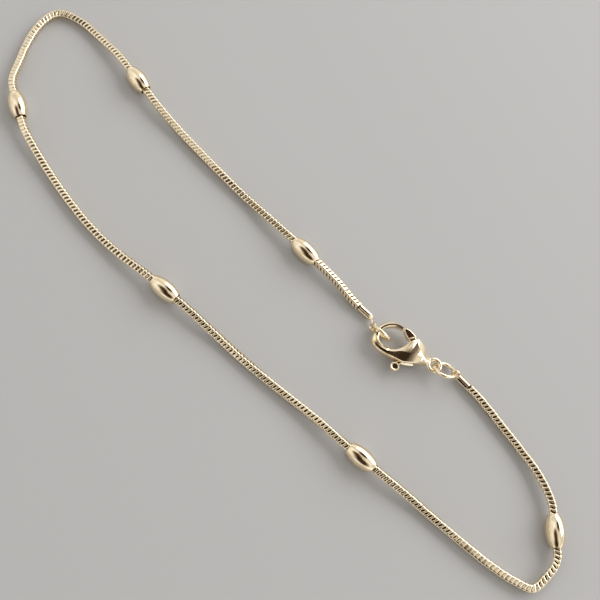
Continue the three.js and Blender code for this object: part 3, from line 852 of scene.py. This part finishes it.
def thumb_nub():
    over = [(share * NUB_RADIUS, NUB_THICK / 2 - drop) for share, drop in NUB_RIM]
    outline = np.array([(radius, -high) for radius, high in over] + over[::-1])
    return swept("nub", on_clasp(turned(outline, NUB_SIDES) + NUB))


lever = pressed("pressed_lever", LEVER, LEVER_THICK)
combine(lever, pressed("gate", GATE, GATE_THICK), "UNION")
combine(lever, thumb_nub(), "UNION")
hole = turned([(PIN_HOLE, -HOLE_REACH), (PIN_HOLE, HOLE_REACH)], NUB_SIDES) + PIVOT
combine(lever, swept("pin_hole", on_clasp(hole)), "DIFFERENCE")
lever.data.set_sharp_from_angle(angle=math.radians(CLASP_CREASE_DEG))
dress(lever, lever_gold, "clasp_lever", "lever")

# %% [markdown]
# The pin that the lever turns on is inside the claw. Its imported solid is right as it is, so it stays and
# only takes the lever's finish.

# %% Lever pin
pin = frame["nodes"]["lever_pin"]
pin.data.materials.clear()
pin.data.materials.append(lever_gold)

# %% [markdown]
# ## Table and light
# The bracelet lies on a plain pale table. It only has to catch the shadows and give the metal something
# even to mirror from below, so one large square with a dull finish is enough.

# %% Table
TABLE_SIZE = 4
TABLE_COLOUR = (0.5, 0.495, 0.49, 1)
TABLE_ROUGHNESS, TABLE_SHINE = 0.7, 0.2


def table_finish():
    finish = bpy.data.materials.new("pale_table")
    finish.use_nodes = True
    shader = finish.node_tree.nodes["Principled BSDF"]
    shader.inputs["Base Color"].default_value = TABLE_COLOUR
    shader.inputs["Roughness"].default_value = TABLE_ROUGHNESS
    shader.inputs["Specular IOR Level"].default_value = TABLE_SHINE
    return finish


half_table = TABLE_SIZE / 2 / MM
table_corners = [(-half_table, -half_table, 0), (half_table, -half_table, 0)]
table_corners += [(half_table, half_table, 0), (-half_table, half_table, 0)]
table = mesh_object("table", table_corners, [[0, 1, 2, 3]])
table.data.materials.append(table_finish())
print("table is", TABLE_SIZE, "m wide")

# %% [markdown]
# Polished metal shows nothing but what is round it, so the room decides how it looks. An evenly bright
# room would leave the gold pale and flat. So this one is bright all round but for three soft dark patches:
# two on the side where whoever looks would stand, and one nearly overhead. They give the beads their dark
# streak and the clasp its dark facet. A picture of a real room could do this too, but shades that are
# worked out need no file and can be moved about.

# %% Room
ROOM_LIGHT = 1
ROOM_SCALE, ROOM_DETAIL = 1.6, 1
# value of the noise, then how light the room is there
ROOM_EVEN = [(0.35, 0.72), (0.65, 1.1)]
DARK_PATCHES = [
    # picture angle and lean from overhead of the middle, radius in degrees, darkest
    (200, 24, 20, 0.1),
    (245, 46, 28, 0.04),
    (45, 22.6, 15, 0.05),
]
# share of a patch's radius, then how light it is there
PATCH_SHADE = [(1.2, 1), (1, 0.7), (0.8, 0.35), (0.55, 0)]
# how much faster green and blue fade than red
GREEN_FALL, BLUE_FALL = 1.12, 1.25


def shades(tree, value, steps):
    """A ramp of greys, warmer the darker they are."""
    ramp = tree.nodes.new("ShaderNodeValToRGB")
    while len(ramp.color_ramp.elements) < len(steps):
        ramp.color_ramp.elements.new(0.5)
    for element, (at, light) in zip(ramp.color_ramp.elements, steps):
        element.position = at
        element.color = (light, light**GREEN_FALL, light**BLUE_FALL, 1)
    tree.links.new(value, ramp.inputs["Fac"])
    return ramp.outputs["Color"]


def dark_patch(tree, spot, picture_angle, lean, radius, darkest):
    """Shades by how near a direction of the room is to the middle of a dark patch."""
    near = tree.nodes.new("ShaderNodeVectorMath")
    near.operation = "DOT_PRODUCT"
    aim = level(math.radians(picture_angle)) * math.tan(math.radians(lean)) + Vector((0, 0, 1))
    near.inputs[1].default_value = aim.normalized()
    tree.links.new(spot.outputs["Generated"], near.inputs[0])
    steps = [(math.cos(math.radians(radius * share)), max(light, darkest)) for share, light in PATCH_SHADE]
    return shades(tree, near.outputs["Value"], steps)


def multiplied(tree, a, b):
    mix = tree.nodes.new("ShaderNodeMix")
    mix.data_type = "RGBA"
    mix.blend_type = "MULTIPLY"
    mix.inputs["Factor"].default_value = 1
    tree.links.new(a, mix.inputs["A"])
    tree.links.new(b, mix.inputs["B"])
    return mix.outputs["Result"]


def bright_room():
    """A world that is bright all round, but for its dark patches."""
    world = bpy.data.worlds.new("room")
    world.use_nodes = True
    tree = world.node_tree
    spot = tree.nodes.new("ShaderNodeTexCoord")
    uneven = tree.nodes.new("ShaderNodeTexNoise")
    uneven.inputs["Scale"].default_value = ROOM_SCALE
    uneven.inputs["Detail"].default_value = ROOM_DETAIL
    tree.links.new(spot.outputs["Generated"], uneven.inputs["Vector"])
    light = shades(tree, uneven.outputs["Fac"], ROOM_EVEN)
    for patch in DARK_PATCHES:
        light = multiplied(tree, light, dark_patch(tree, spot, *patch))
    tree.links.new(light, tree.nodes["Background"].inputs["Color"])
    tree.nodes["Background"].inputs["Strength"].default_value = ROOM_LIGHT
    return world


bpy.context.scene.world = bright_room()
print("room has", len(DARK_PATCHES), "dark patches")

# %% [markdown]
# The room alone would leave almost no shadows. One broad lamp to the upper right, like a window, gives
# them a side and keeps their edges soft. A small lamp or a sun would draw them too hard.

# %% Lamp
def soft_lamp(name, picture_angle, height_angle, distance, width, height, watts):
    """A broad lamp that faces the bracelet from a side of the picture."""
    rise = math.radians(height_angle)
    towards = level(math.radians(picture_angle)) * math.cos(rise) + Vector((0, 0, math.sin(rise)))
    lamp = bpy.data.objects.new(name, bpy.data.lights.new(name, "AREA"))
    lamp.data.shape = "RECTANGLE"
    lamp.data.size, lamp.data.size_y = width, height
    lamp.data.energy = watts
    lamp.location = towards * distance
    lamp.rotation_euler = towards.to_track_quat("Z", "Y").to_euler()
    bpy.context.scene.collection.objects.link(lamp)
    return lamp


soft_lamp("window", picture_angle=30, height_angle=34, distance=0.5, width=0.7, height=0.34, watts=1.9)
bpy.context.scene.view_settings.view_transform = "Standard"
